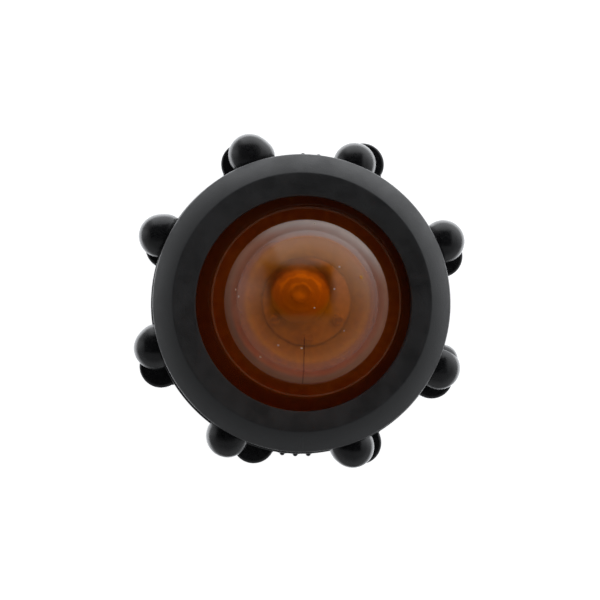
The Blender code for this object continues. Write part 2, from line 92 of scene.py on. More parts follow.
def studio_camera():
    camera = bpy.data.cameras.new("studio_camera")
    camera.lens = CAMERA_LENS
    camera.sensor_width = 36.0
    camera.clip_start, camera.clip_end = 0.01, 50.0
    thing = bpy.data.objects.new("studio_camera", camera)
    bpy.context.scene.collection.objects.link(thing)
    back = CAMERA_LEAN.normalized()
    right = Vector((0, 1, 0)).cross(back).normalized()
    up = back.cross(right)
    turn = Matrix((right, up, back)).transposed()
    thing.matrix_world = Matrix.Translation(CAMERA_AIM + back * CAMERA_DISTANCE) @ turn.to_4x4()
    bpy.context.scene.camera = thing


def studio_walls():
    """Light from all round: a bright window towards +Y that stops short of the left corner, less light to +X, least
    to -X and -Y, and dark near the zenith. Below the horizon it is the pale room beyond the table's edge."""
    world = bpy.data.worlds.new("studio_walls")
    bpy.context.scene.world = world
    world.use_nodes = True
    tree = world.node_tree
    tree.nodes.clear()
    where = wire(tree, "ShaderNodeTexCoord").outputs["Generated"]
    x, y, z = wire(tree, "ShaderNodeSeparateXYZ", ((0, where),)).outputs
    window = calc(tree, "ADD", ease(tree, y, -0.35, 0.95, 0.32, 1.60), ease(tree, x, 0.0, 1.0, 0.0, 0.14))
    past_window = product(tree, ease(tree, x, -0.42, -0.56), ease(tree, y, 0.2, 0.5), 0.6)
    above = product(tree, window, ease(tree, z, 0.1, 0.65, 1.1, 0.62), calc(tree, "SUBTRACT", 1.0, past_window))
    room = calc(tree, "ADD", ease(tree, y, -0.85, -0.1, 0.15, 3.2), ease(tree, y, 0.0, 1.0, 0.0, 0.6))
    below = product(tree, room, ease(tree, z, -0.3, -0.9, 1.1, 0.7))
    under_edge = ease(tree, z, -0.28, -0.5)
    level = calc(tree, "ADD", product(tree, above, calc(tree, "SUBTRACT", 1.0, under_edge)),
                 product(tree, below, under_edge))
    stand = product(tree, band(tree, x, -0.12, 0.56, 0.68), band(tree, y, 0.21, 0.44, 0.54),
                    ease(tree, z, 0.0, 0.1, 0.0, 0.97))
    level = product(tree, level, calc(tree, "SUBTRACT", 1.0, stand))
    walls = wire(tree, "ShaderNodeBackground", (("Color", (0.95, 0.97, 1.0, 1.0)), ("Strength", level)))
    white = wire(tree, "ShaderNodeBackground", (("Color", (1.0, 1.0, 1.0, 1.0)), ("Strength", 1.15)))
    seen = wire(tree, "ShaderNodeLightPath").outputs["Is Camera Ray"]
    mix = wire(tree, "ShaderNodeMixShader", ((0, seen), (1, walls.outputs[0]), (2, white.outputs[0])))
    wire(tree, "ShaderNodeOutputWorld", (("Surface", mix.outputs[0]),))


def studio_table():
    """A white table top that shows from above only, so that the underside can be looked at through it."""
    half, level = 6.0, -0.0003
    mesh = bpy.data.meshes.new("studio_table")
    mesh.from_pydata([(-half, -half, level), (half, -half, level), (half, half, level), (-half, half, level)], [],
                     [(0, 1, 2, 3)])
    table = bpy.data.objects.new("studio_table", mesh)
    bpy.context.scene.collection.objects.link(table)
    material = bpy.data.materials.new("table_white")
    material.use_nodes = True
    tree = material.node_tree
    tree.nodes.clear()
    paint = wire(tree, "ShaderNodeBsdfDiffuse", (("Color", (0.8, 0.8, 0.8, 1.0)),))
    glow_and_painted_highlight = wire(tree, "ShaderNodeEmission", (("Color", (1.0, 1.0, 1.0, 1.0)), ("Strength", 0.93)))
    both = wire(tree, "ShaderNodeAddShader", ((0, paint.outputs[0]), (1, glow_and_painted_highlight.outputs[0])))
    clear = wire(tree, "ShaderNodeBsdfTransparent")
    below = wire(tree, "ShaderNodeNewGeometry").outputs["Backfacing"]
    mix = wire(tree, "ShaderNodeMixShader", ((0, below), (1, both.outputs[0]), (2, clear.outputs[0])))
    wire(tree, "ShaderNodeOutputMaterial", (("Surface", mix.outputs[0]),))
    mesh.materials.append(material)
    table.visible_glossy = False


studio_camera()
studio_walls()
studio_table()
bpy.context.scene.view_settings.view_transform = "Standard"

# ---------------------------------------------------------------------------------------------------------------------
# The base cup. One moulding in black glass-filled nylon: eight anchor lobes and five thin key ribs for the grout, a
# cored wall underneath, a neck with four bayonet ears, and a boss inside that houses the on/off button.
BASE_RADIUS = 0.0430
BASE_SHOULDER = 0.022
NECK_RADIUS = 0.035
LOBE_RADIUS = 0.0062
LOBE_LOW, LOBE_TOP = 0.003, 0.020
LOBE_EDGE = 0.0008
ANCHOR_LOBES = ((19, 0.0431), (66, 0.0443), (112.5, 0.0438), (157, 0.0418),
                (204, 0.0439), (251.2, 0.0418), (293.3, 0.0434), (331, 0.0433))
KEY_RIBS = (83, 89, 263, 268, 273)
KEY_RIB_RADIUS = 0.0008
BUTTON_Y = -0.020
BUTTON_HOLE = 0.0026
WELL_RADIUS, WELL_TOP = 0.0064, 0.0040
BOSS_RADIUS, BOSS_TOP = 0.0082, 0.0085
CHANNEL_INNER, CHANNEL_OUTER, CHANNEL_TOP = 0.0352, 0.0400, 0.0175
CHANNEL_WEB_HALF_WIDTH = 2.5
CAVITY_RADIUS = 0.0325
FLOOR_TOP = 0.0040
NECK_TOP = 0.0272
EAR_RADIUS, EAR_LOW, EAR_TOP = 0.0368, 0.0256, 0.0268
EAR_MIDDLES = (0, 90, 180, 270)
EAR_HALF_WIDTH = 18.0


def rounded(points, size, steps=4):
    """Rounds each inner corner of a path: the corner P gives way to the curve (1-t)²A + 2t(1-t)P + t²B, where A and B
    lie on the two sides, at the given size from P or at 45% of a side that is shorter."""
    points = [np.array(p, float) for p in points]
    path = [points[0]]
    for before, corner, after in zip(points, points[1:], points[2:]):
        back, ahead = before - corner, after - corner
        a = corner + back * min(size / np.linalg.norm(back), 0.45)
        b = corner + ahead * min(size / np.linalg.norm(ahead), 0.45)
        t = np.linspace(0.0, 1.0, steps + 1)[:, None]
        path.extend((1 - t) ** 2 * a + 2 * t * (1 - t) * corner + t ** 2 * b)
    path.append(points[-1])
    return np.array(path)


def round_angles(count, *clusters):
    """Angles in degrees round the axis: evenly spaced ones and the extra ones of each cluster, in order."""
    every = np.concatenate([np.arange(count) * 360.0 / count, *[np.ravel(c) for c in clusters]]) % 360.0
    return np.unique(np.round(every, 3))


def lobe_angles(degrees, reach, radius, steps):
    """Polar angles of points spaced evenly round a circle that stands off the axis."""
    turn = np.radians(np.linspace(-104, 104, steps))
    return degrees + np.degrees(np.arctan2(radius * np.sin(turn), reach + radius * np.cos(turn)))


def far_side(angles, degrees, reach, radius):
    """Distance from the axis to the far side of a circle that stands off it: reach·cos d + √(radius² - reach²·sin² d),
    with d the angle from the circle's own direction. Zero where a line from the axis misses the circle."""
    d = np.radians((angles - degrees + 180.0) % 360.0 - 180.0)
    inside = radius ** 2 - (reach * np.sin(d)) ** 2
    hit = (inside > 0) & (np.abs(d) < 1.0)
    return np.where(hit, reach * np.cos(d) + np.sqrt(np.maximum(inside, 0)), 0.0)


def gate(angles, middles, half_width, soft):
    """One near the given directions, zero elsewhere, with a straight ramp of the given softness between."""
    off = np.min([np.abs((angles - m + 180.0) % 360.0 - 180.0) for m in middles], axis=0)
    return np.clip((half_width - off) / soft + 0.5, 0.0, 1.0)


def skin(name, grid, loop=False, sharp=38.0):
    """A closed mesh through a grid of points. The second index runs round an axis and closes on itself. The first runs
    along the profile, which closes too if loop is set, and otherwise ends in two poles."""
    rows, columns = grid.shape[:2]
    index = np.arange(rows * columns).reshape(rows, columns)
    if not loop:
        index[0], index[-1] = index[0, 0], index[-1, 0]
    a = index if loop else index[:-1]
    b = np.roll(index, -1, axis=0) if loop else index[1:]
    quads = np.stack([a, np.roll(a, -1, axis=1), np.roll(b, -1, axis=1), b], axis=-1).reshape(-1, 4)
    points = grid.reshape(-1, 3)
    p = points[quads]
    volume = np.einsum("ij,ij->", p[:, 0], np.cross(p[:, 1], p[:, 2])) + np.einsum("ij,ij->", p[:, 0],
                                                                                 np.cross(p[:, 2], p[:, 3]))
    if volume < 0:
        quads = quads[:, ::-1]
    used, compact = np.unique(quads, return_inverse=True)
    faces = [tuple(dict.fromkeys(face)) for face in compact.reshape(-1, 4).tolist()]
    mesh = bpy.data.meshes.new(name)
    mesh.from_pydata(points[used].tolist(), [], faces)
    mesh.shade_smooth()
    mesh.set_sharp_from_angle(angle=math.radians(sharp))
    thing = bpy.data.objects.new(name, mesh)
    bpy.context.scene.collection.objects.link(thing)
    return thing


def base_cup_surface():
    """One closed surface that starts and ends in the button's hole. Each row is a ring round its own centre on the Y
    axis: x = r·cos a, y = c + r·sin a, z. Rings slide from the button's centre out to the cup's, so the well, the
    cored channel, the wall, the neck, the cavity and the boss join without a seam. On the wall, r is the greater of the
    body's radius and the far side of each lobe and rib; in the channel, z drops to nothing at eight webs."""
    webs = np.arange(8) * 45.0 + 22.5
    angles = round_angles(
        232,
        *[lobe_angles(d, reach, LOBE_RADIUS, 25) for d, reach in ANCHOR_LOBES],
        *[lobe_angles(d, BASE_RADIUS, KEY_RIB_RADIUS, 9) for d in KEY_RIBS],
        *[web + side * CHANNEL_WEB_HALF_WIDTH + np.array([-0.35, 0.35]) for web in webs for side in (-1, 1)],
        *[middle + side * EAR_HALF_WIDTH + np.array([-0.3, 0.3]) for middle in EAR_MIDDLES for side in (-1, 1)])
    turn = np.radians(angles)
    full = np.ones_like(turn)

    under = rounded([(BUTTON_Y, BUTTON_HOLE, 0.0070), (BUTTON_Y, BUTTON_HOLE, WELL_TOP),
                     (BUTTON_Y, WELL_RADIUS, WELL_TOP), (BUTTON_Y, WELL_RADIUS, 0.0), (BUTTON_Y / 2, 0.021, 0.0),
                     (0, CHANNEL_INNER, 0.0), (0, CHANNEL_INNER, CHANNEL_TOP), (0, CHANNEL_OUTER, CHANNEL_TOP),
                     (0, CHANNEL_OUTER, 0.0), (0, BASE_RADIUS, 0.0), (0, BASE_RADIUS, 0.0015)], 0.0006)
    channel = 1.0 - gate(angles, webs, CHANNEL_WEB_HALF_WIDTH, 0.6)
    rows = [(c, r * full, z * (channel if CHANNEL_INNER - 0.0010 < r < CHANNEL_OUTER + 0.0010 and z > 0 else full))
            for c, r, z in under]

    curve = LOBE_EDGE * (1 - np.cos(np.radians(np.linspace(0, 90, 6))))
    rise = LOBE_EDGE * np.sin(np.radians(np.linspace(0, 90, 6)))
    heights = np.concatenate([LOBE_LOW + LOBE_EDGE - rise[::-1], np.linspace(LOBE_LOW + 0.002, LOBE_TOP - 0.002, 8),
                              LOBE_TOP - LOBE_EDGE + rise])
    inset = np.concatenate([curve[::-1], np.zeros(8), curve])
    body = BASE_RADIUS * full
    rows.append((0.0, body, (LOBE_LOW - 0.00001) * full))
    for z, cut in zip(heights, inset):
        wall = body
        for degrees, reach in ANCHOR_LOBES:
            wall = np.maximum(wall, far_side(angles, degrees, reach, LOBE_RADIUS - cut))
        for degrees in KEY_RIBS:
            wall = np.maximum(wall, far_side(angles, degrees, BASE_RADIUS, KEY_RIB_RADIUS - cut * 0.9))
        rows.append((0.0, wall, z * full))
    rows.append((0.0, body, (LOBE_TOP + 0.00001) * full))

    upper = rounded([(0, BASE_RADIUS, 0.0205), (0, BASE_RADIUS, BASE_SHOULDER), (0, NECK_RADIUS, BASE_SHOULDER),
                     (0, NECK_RADIUS, EAR_LOW), (0, EAR_RADIUS, EAR_LOW), (0, EAR_RADIUS, EAR_TOP),
                     (0, NECK_RADIUS, EAR_TOP), (0, NECK_RADIUS, NECK_TOP), (0, CAVITY_RADIUS, NECK_TOP),
                     (0, CAVITY_RADIUS, FLOOR_TOP), (BUTTON_Y / 2, 0.0220, FLOOR_TOP),
                     (BUTTON_Y, BOSS_RADIUS, FLOOR_TOP), (BUTTON_Y, BOSS_RADIUS, BOSS_TOP),
                     (BUTTON_Y, BUTTON_HOLE, BOSS_TOP), (BUTTON_Y, BUTTON_HOLE, 0.0078)], 0.0006)
    ears = gate(angles, EAR_MIDDLES, EAR_HALF_WIDTH, 0.5)
    for c, r, z in upper:
        on_ear = z > 0.0250 and r > NECK_RADIUS
        rows.append((c, NECK_RADIUS + (r - NECK_RADIUS) * ears if on_ear else r * full, z * full))
    grid = np.stack([np.stack([r * np.cos(turn), c + r * np.sin(turn), z], axis=-1) for c, r, z in rows])
    return skin("base_cup_shell", grid, loop=True)


def blend(tree, share, first, second):
    """One colour going over into another. A colour is three numbers or a socket."""
    ends = [c if isinstance(c, bpy.types.NodeSocket) else (*c, 1.0) for c in (first, second)]
    return wire(tree, "ShaderNodeMix", ((0, share), (6, ends[0]), (7, ends[1])), data_type="RGBA").outputs[2]


def moulded_nylon(name):
    """Black glass-filled nylon: satin skin with faint fibre streaks, fine spark-eroded grain and dusty patches."""
    material = bpy.data.materials.new(name)
    material.use_nodes = True
    tree = material.node_tree
    shader = tree.nodes["Principled BSDF"]
    shader.inputs["IOR"].default_value = 1.58
    where = wire(tree, "ShaderNodeTexCoord").outputs["Object"]
    streak = wire(tree, "ShaderNodeMapping", ((0, where), ("Scale", (1.0, 1.0, 0.25))))
    fibre = wire(tree, "ShaderNodeTexNoise", (("Vector", streak.outputs[0]), ("Scale", 900.0), ("Detail", 5.0),
                                              ("Roughness", 0.6)))
    cloud = wire(tree, "ShaderNodeTexNoise", (("Vector", where), ("Scale", 95.0), ("Detail", 6.0),
                                              ("Roughness", 0.62)))
    grain = wire(tree, "ShaderNodeTexNoise", (("Vector", where), ("Scale", 4200.0), ("Detail", 2.0)))
    tone = blend(tree, ease(tree, fibre.outputs[0], 0.35, 0.7), (0.0085, 0.0085, 0.0095), (0.0150, 0.0150, 0.0160))
    dusty = blend(tree, ease(tree, cloud.outputs[0], 0.52, 0.78, 0.0, 0.07), tone, (0.12, 0.11, 0.10))
    tree.links.new(dusty, shader.inputs["Base Color"])
    gloss = calc(tree, "ADD", ease(tree, cloud.outputs[0], 0.3, 0.7, 0.20, 0.31),
                 ease(tree, fibre.outputs[0], 0.3, 0.7, -0.03, 0.04))
    tree.links.new(gloss, shader.inputs["Roughness"])
    low_bump = wire(tree, "ShaderNodeBump", (("Strength", 0.25), ("Distance", 0.00012), ("Height", cloud.outputs[0])))
    bump = wire(tree, "ShaderNodeBump", (("Strength", 0.30), ("Distance", 0.00004), ("Height", grain.outputs[0]),
                                         ("Normal", low_bump.outputs[0])))
    tree.links.new(bump.outputs[0], shader.inputs["Normal"])
    return material


base_nylon = moulded_nylon("nylon_base")
cup = base_cup_surface()
cup.data.materials.append(base_nylon)
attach(cup, "base")
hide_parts("base_cup")

# ---------------------------------------------------------------------------------------------------------------------
# The on/off button. A red elastomer-capped plunger in the well under the base, its rubber seal ring on the boss, and
# the black tactile switch that it pushes. All three are pressed in from below before the cell goes in.


def plain_finish(name, dark, light, rough, metallic=0.0, scale=700.0, bump=0.00004):
    """A small part's finish: two tones and two roughnesses mixed by noise at the given scale, with a grain bump."""
    material = bpy.data.materials.new(name)
    material.use_nodes = True
    tree = material.node_tree
    shader = tree.nodes["Principled BSDF"]
    shader.inputs["Metallic"].default_value = metallic
    shader.inputs["IOR"].default_value = 1.5
    where = wire(tree, "ShaderNodeTexCoord").outputs["Object"]
    cloud = wire(tree, "ShaderNodeTexNoise", (("Vector", where), ("Scale", scale), ("Detail", 5.0)))
    grain = wire(tree, "ShaderNodeTexNoise", (("Vector", where), ("Scale", scale * 6.0), ("Detail", 2.0)))
    tree.links.new(blend(tree, ease(tree, cloud.outputs[0], 0.35, 0.68), dark, light), shader.inputs["Base Color"])
    tree.links.new(ease(tree, cloud.outputs[0], 0.3, 0.7, rough[0], rough[1]), shader.inputs["Roughness"])
    relief = wire(tree, "ShaderNodeBump", (("Strength", 0.35), ("Distance", bump), ("Height", grain.outputs[0])))
    tree.links.new(relief.outputs[0], shader.inputs["Normal"])
    return material


def refinish(material, *names):
    """Puts a finish on CAD nodes that keep their own shape."""
    for name in names:
        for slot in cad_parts[name].material_slots:
            slot.material = material


refinish(plain_finish("elastomer_red", (0.34, 0.025, 0.02), (0.48, 0.05, 0.035), (0.42, 0.6)), "power_button")
refinish(plain_finish("seal_black", (0.012, 0.012, 0.012), (0.03, 0.03, 0.03), (0.55, 0.75)), "button_seal")
refinish(plain_finish("switch_black", (0.015, 0.015, 0.016), (0.03, 0.03, 0.032), (0.35, 0.5)), "switch")

# ---------------------------------------------------------------------------------------------------------------------
# The cell. A flat rechargeable cell in a blue heat-shrink sleeve, sitting in a white acetal cradle on the cup's floor,
# with a nickel-plated plate under it and a nickel-plated spring strip over it. A paper desiccant pack lies beside it.
refinish(plain_finish("acetal_cradle", (0.66, 0.66, 0.63), (0.76, 0.76, 0.73), (0.36, 0.5)), "cell_cradle")
refinish(plain_finish("sleeve_blue", (0.07, 0.18, 0.38), (0.11, 0.25, 0.46), (0.25, 0.42), scale=350.0), "cell")
refinish(plain_finish("nickel_strip", (0.60, 0.58, 0.53), (0.74, 0.72, 0.66), (0.18, 0.34), 1.0, 1800.0),
         "contact_plate", "contact_spring")
refinish(plain_finish("pack_paper", (0.72, 0.70, 0.64), (0.84, 0.83, 0.78), (0.72, 0.9), scale=2400.0, bump=0.00008),
         "desiccant_pack")

# ---------------------------------------------------------------------------------------------------------------------
# The driver board. Green solder mask on glass-fibre board, held by three brass standoffs and steel pan-head screws,
# with a sleeved capacitor, a wound inductor, a controller chip and the white lead connector soldered on top.


def solder_mask():
    """Green board: a woven glass weave under the mask from two crossed waves, and copper areas that show paler."""
    material = bpy.data.materials.new("solder_mask_green")
    material.use_nodes = True
    tree = material.node_tree
    shader = tree.nodes["Principled BSDF"]
    where = wire(tree, "ShaderNodeTexCoord").outputs["Object"]
    across = wire(tree, "ShaderNodeTexWave", (("Vector", where), ("Scale", 500.0)), bands_direction="X")
    along = wire(tree, "ShaderNodeTexWave", (("Vector", where), ("Scale", 500.0)), bands_direction="Y")
    weave = calc(tree, "MULTIPLY", across.outputs["Fac"], along.outputs["Fac"])
    copper = wire(tree, "ShaderNodeTexVoronoi", (("Vector", where), ("Scale", 210.0)), distance="MANHATTAN",
                  feature="DISTANCE_TO_EDGE")
    tone = blend(tree, ease(tree, copper.outputs["Distance"], 0.04, 0.07), (0.008, 0.085, 0.03), (0.02, 0.17, 0.07))
    tree.links.new(tone, shader.inputs["Base Color"])
    tree.links.new(ease(tree, weave, 0.0, 1.0, 0.26, 0.36), shader.inputs["Roughness"])
    relief = wire(tree, "ShaderNodeBump", (("Strength", 0.3), ("Distance", 0.00003), ("Height", weave)))
    tree.links.new(relief.outputs[0], shader.inputs["Normal"])
    return material


refinish(solder_mask(), "driver_board")
refinish(plain_finish("brass_standoff", (0.62, 0.45, 0.18), (0.76, 0.58, 0.27), (0.22, 0.38), 1.0, 1500.0),
         "standoff_1", "standoff_2", "standoff_3")
screw_steel = plain_finish("zinc_screw", (0.50, 0.50, 0.53), (0.68, 0.68, 0.70), (0.22, 0.4), 1.0, 2000.0)
refinish(screw_steel, "board_screw_1", "board_screw_2", "board_screw_3")
refinish(plain_finish("capacitor_sleeve", (0.015, 0.017, 0.03), (0.03, 0.034, 0.05), (0.22, 0.36)), "capacitor")
refinish(plain_finish("ferrite_grey", (0.035, 0.034, 0.033), (0.075, 0.073, 0.07), (0.5, 0.7)), "inductor")
chip_epoxy = plain_finish("chip_epoxy", (0.014, 0.014, 0.015), (0.03, 0.03, 0.03), (0.42, 0.58), scale=3000.0)
refinish(chip_epoxy, "controller_chip")
refinish(plain_finish("connector_white", (0.68, 0.67, 0.62), (0.78, 0.77, 0.72), (0.34, 0.48)), "lead_connector")

# ---------------------------------------------------------------------------------------------------------------------
# The lamp carrier. A grey nylon cap that drops over the driver board and lifts the LED board into the dome. Its tower
# stands a little off the axis, as the dome does. The red and black leads come up through its middle.
LAMP_X, LAMP_Y = 0.0013, 0.0003
# Reach from the lamp's axis past which the carrier is painted darker, as shade under the bezel's lip.
PAINTED_SHADE_REACH = 0.0272


def placed(tree, where, middle, scale=(1.0, 1.0, 0.0)):
    """A point's place about a middle, with each axis scaled: the vector and its length."""
    shift = tuple(-m * k for m, k in zip(middle, scale))
    vector = wire(tree, "ShaderNodeMapping", ((0, where), ("Location", shift), ("Scale", scale))).outputs[0]
    return vector, wire(tree, "ShaderNodeVectorMath", ((0, vector),), operation="LENGTH").outputs["Value"]


def carrier_finish():
    """Grey nylon that is paler inside the dome's foot and painted darker outside it, as shade under the bezel's lip."""
    material = plain_finish("carrier_grey", (0.29, 0.27, 0.22), (0.37, 0.35, 0.29), (0.45, 0.6), scale=400.0)
    tree = material.node_tree
    shader = tree.nodes["Principled BSDF"]
    tone = shader.inputs["Base Color"].links[0].from_socket
    where = wire(tree, "ShaderNodeTexCoord").outputs["Object"]
    reach = placed(tree, where, (LAMP_X, LAMP_Y, 0.0))[1]
    # Painted shade: darker past that reach from the lamp's axis.
    painted_shade_rim = blend(tree, ease(tree, reach, PAINTED_SHADE_REACH - 0.0004, PAINTED_SHADE_REACH + 0.0004), tone, (0.13, 0.12, 0.10))
    tree.links.new(painted_shade_rim, shader.inputs["Base Color"])
    return material


refinish(carrier_finish(), "lamp_carrier")
refinish(plain_finish("lead_red", (0.42, 0.02, 0.015), (0.55, 0.04, 0.03), (0.4, 0.52)), "lamp_lead_red")
refinish(plain_finish("lead_black", (0.014, 0.014, 0.014), (0.03, 0.03, 0.03), (0.4, 0.52)), "lamp_lead_black")

# ---------------------------------------------------------------------------------------------------------------------
# The lamp. An LED board on two screws, a matt moulded dish round it, and a frosted acrylic optic with stepped rings
# over the yellow emitter. Board, screws, dish and dusk sensor are ivory with a green cast. The shade round the optic's
# far side and the highlights on the optic are painted.
LED_BOARD_RADIUS = 0.0125
LED_BOARD_LOW, LED_BOARD_TOP = 0.0307, 0.0319
OPTIC_X, OPTIC_Y = -0.0005, 0.0025
OPTIC_RADIUS, OPTIC_TOP = 0.0083, 0.0382
HIGHLIGHT_HALF_DEPTH = 0.0066
DISH_INNER, DISH_OUTER = 0.0127, 0.0190
BOARD_IVORY = (0.58, 0.70, 0.46)


def lathe(name, profile, count, centre, loop=True, sharp=38.0):
    """Turns a profile of (radius, height) points about a vertical axis: x = cx + r·cos a, y = cy + r·sin a, z."""
    turn = np.radians(round_angles(count))
    radius, height = profile[:, 0][:, None], profile[:, 1][:, None]
    grid = np.stack([centre[0] + radius * np.cos(turn), centre[1] + radius * np.sin(turn),
                     height + 0 * turn], axis=-1)
    return skin(name, grid, loop, sharp)


def led_board_disc():
    """A disc with two rounded edges: a profile of (radius, height) turned about the axis."""
    profile = rounded([(0, LED_BOARD_TOP), (LED_BOARD_RADIUS, LED_BOARD_TOP), (LED_BOARD_RADIUS, LED_BOARD_LOW),
                       (0, LED_BOARD_LOW)], 0.0005)
    return lathe("led_board_disc", profile, 120, (LAMP_X, LAMP_Y), loop=False)


def dish_ring():
    """A shallow cone with a rolled outer lip, turned about the axis as a closed ring."""
    profile = rounded([(DISH_INNER, 0.0304), (DISH_INNER, 0.0300), (DISH_OUTER - 0.0006, 0.0316),
                       (DISH_OUTER, 0.0322), (DISH_OUTER, 0.0330), (DISH_OUTER - 0.0010, 0.0330),
                       (DISH_INNER, 0.0315), (DISH_INNER, 0.0312)], 0.0002)
    return lathe("dish_ring", profile, 180, (LAMP_X, LAMP_Y))


def stepped_optic():
    """A bell of stepped rings. Height over radius is a falling curve, top - drop·(r/R)^2.2, cut into three steps by a
    sawtooth that lifts each ring's outer edge; a dimple is sunk in the middle and the underside is hollow."""
    low = LED_BOARD_TOP + 0.0003
    r = np.linspace(0.0, OPTIC_RADIUS, 60)
    share = r / OPTIC_RADIUS
    bell = OPTIC_TOP - 0.0005 - (OPTIC_TOP - low - 0.0016) * share ** 2.2
    steps = 0.00045 * ((share * 3.0) % 1.0) * (share < 0.97)
    dimple = 0.0003 * np.exp(-(r / 0.0014) ** 2)
    outside = np.stack([r, bell + steps - dimple], axis=-1)
    under = np.array([(OPTIC_RADIUS, low + 0.0010), (0.0078, low + 0.0002), (0.0070, low), (0.0034, low),
                      (0.0034, low + 0.0020), (0.0020, low + 0.0030), (0.0, low + 0.0033)])
    return lathe("stepped_optic", np.concatenate([outside, under]), 96, (OPTIC_X, OPTIC_Y), loop=False, sharp=30.0)


def led_board_finish():
    """Olive-ivory solder mask with painted shade round the optic, mostly on its far side: the shade fades with the
    distance from the optic's middle and towards -Y."""
    material = plain_finish("board_ivory", BOARD_IVORY, (0.70, 0.82, 0.56), (0.4, 0.55))
    tree = material.node_tree
    shader = tree.nodes["Principled BSDF"]
    tone = shader.inputs["Base Color"].links[0].from_socket
    where = wire(tree, "ShaderNodeTexCoord").outputs["Object"]
    place, reach = placed(tree, where, (OPTIC_X, OPTIC_Y + 0.0004, 0.0))
    far = wire(tree, "ShaderNodeSeparateXYZ", ((0, place),)).outputs["Y"]
    # Painted shade: a darker halo round the optic's far side.
    painted_shade_share = product(tree, ease(tree, reach, 0.0088, 0.0112, 0.9, 0.0), ease(tree, far, -0.006, 0.002))
    tree.links.new(blend(tree, painted_shade_share, tone, (0.20, 0.16, 0.04)), shader.inputs["Base Color"])
    return material


def optic_finish():
    """Frosted acrylic in the emitter's yellow, with painted highlights under its rings. With e the distance from the
    middle after dividing x by 8.3 mm and y by 6.6 mm, the tone is palest at e = 0, again on arcs at sin(20·e) = 1 on
    the far half, and at e = 1 goes to the board's tone on the near side and to painted shade on the far side."""
    material = bpy.data.materials.new("optic_acrylic")
    material.use_nodes = True
    tree = material.node_tree
    shader = tree.nodes["Principled BSDF"]
    shader.inputs["IOR"].default_value = 1.49
    where = wire(tree, "ShaderNodeTexCoord").outputs["Object"]
    place, reach = placed(tree, where, (OPTIC_X, OPTIC_Y, 0.0), (1 / OPTIC_RADIUS, 1 / HIGHLIGHT_HALF_DEPTH, 0.0))
    cloud = wire(tree, "ShaderNodeTexNoise", (("Vector", where), ("Scale", 420.0), ("Detail", 4.0)))
    ragged = calc(tree, "ADD", reach, ease(tree, cloud.outputs[0], 0.3, 0.7, -0.05, 0.05))
    far = wire(tree, "ShaderNodeSeparateXYZ", ((0, place),)).outputs["Y"]
    waves = calc(tree, "SINE", calc(tree, "MULTIPLY", ragged, 20.0))
    arcs = product(tree, ease(tree, waves, 0.1, 1.0), ease(tree, far, -0.1, 0.35, 0.15, 0.95),
                   ease(tree, ragged, 0.86, 0.96, 1.0, 0.0))
    pale = calc(tree, "MAXIMUM", arcs, ease(tree, ragged, 0.30, 0.05))
    # Painted highlights: the pale middle and the arcs on the far half.
    glow_and_painted_highlight = blend(tree, pale, (0.66, 0.60, 0.42), (1.0, 1.0, 0.66))
    # Painted shade: the optic's rim goes dark on its far side.
    edge = blend(tree, ease(tree, far, -0.3, 0.2), BOARD_IVORY, (0.24, 0.20, 0.06))
    tree.links.new(blend(tree, ease(tree, ragged, 0.86, 1.04), glow_and_painted_highlight, edge), shader.inputs["Base Color"])
    tree.links.new(ease(tree, cloud.outputs[0], 0.3, 0.7, 0.10, 0.28), shader.inputs["Roughness"])
    relief = wire(tree, "ShaderNodeBump", (("Strength", 0.3), ("Distance", 0.0001), ("Height", cloud.outputs[0])))
    tree.links.new(relief.outputs[0], shader.inputs["Normal"])
    return material


led_disc = led_board_disc()
led_disc.data.materials.append(led_board_finish())
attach(led_disc, "base")
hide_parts("led_board")

dish = dish_ring()
dish.data.materials.append(plain_finish("dish_satin", (0.42, 0.52, 0.35), (0.52, 0.62, 0.43), (0.45, 0.6)))
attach(dish, "base")
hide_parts("reflector")

optic_bell = stepped_optic()
optic_bell.data.materials.append(optic_finish())
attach(optic_bell, "base")
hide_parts("optic")

refinish(plain_finish("emitter_phosphor", (0.85, 0.55, 0.06), (0.95, 0.68, 0.10), (0.3, 0.45)), "led_emitter")
refinish(plain_finish("painted_screw", (0.48, 0.56, 0.38), (0.58, 0.66, 0.46), (0.45, 0.6)), "led_board_screw_1",
         "led_board_screw_2")
refinish(plain_finish("sensor_ivory", (0.44, 0.52, 0.34), (0.54, 0.62, 0.42), (0.4, 0.55)), "dusk_sensor")

# ---------------------------------------------------------------------------------------------------------------------
# The dome lens. Cast amber glass, 3.4 mm thick: a hollow dome on a flat flange, with a shallow groove round its foot.
# A fine mould line runs down the near side, and small pale specks and one ochre fleck sit on it; the two specks on its
# far rim are painted glints.
DOME_RADIUS = 0.0233
DOME_TOP = 0.0495
DOME_WALL = 0.0034
GROOVE_RADIUS = 0.0273
GROOVE_LEVEL = 0.0302
FLANGE_RADIUS = 0.0344
FLANGE_LOW, FLANGE_TOP = 0.0288, 0.0310
MOULD_LINE_X, MOULD_LINE_Y = LAMP_X - 0.0012, -0.0092
MOULD_LINE_DEPTH, MOULD_LINE_WIDTH = 0.00006, 0.00016
CASTING_RIPPLE = 0.00002
SPECK_SWELL, SPECK_SINK = 1.15, 0.00006
TINT_THICK, TINT_THIN, TINT_PASSING = (0.92, 0.38, 0.012), (0.98, 0.46, 0.022), (1.0, 0.62, 0.06)
# Film tones: brown on the near side and the sides; the milky far tone is a painted reflection and the warm one a
# painted highlight.
FILM_NEAR, FILM_SIDE = (0.58, 0.27, 0.17), (0.50, 0.24, 0.16)
FILM_FAR_REFLECTION, PAINTED_WARM_HIGHLIGHT = (0.70, 0.57, 0.52), (0.85, 0.34, 0.06)
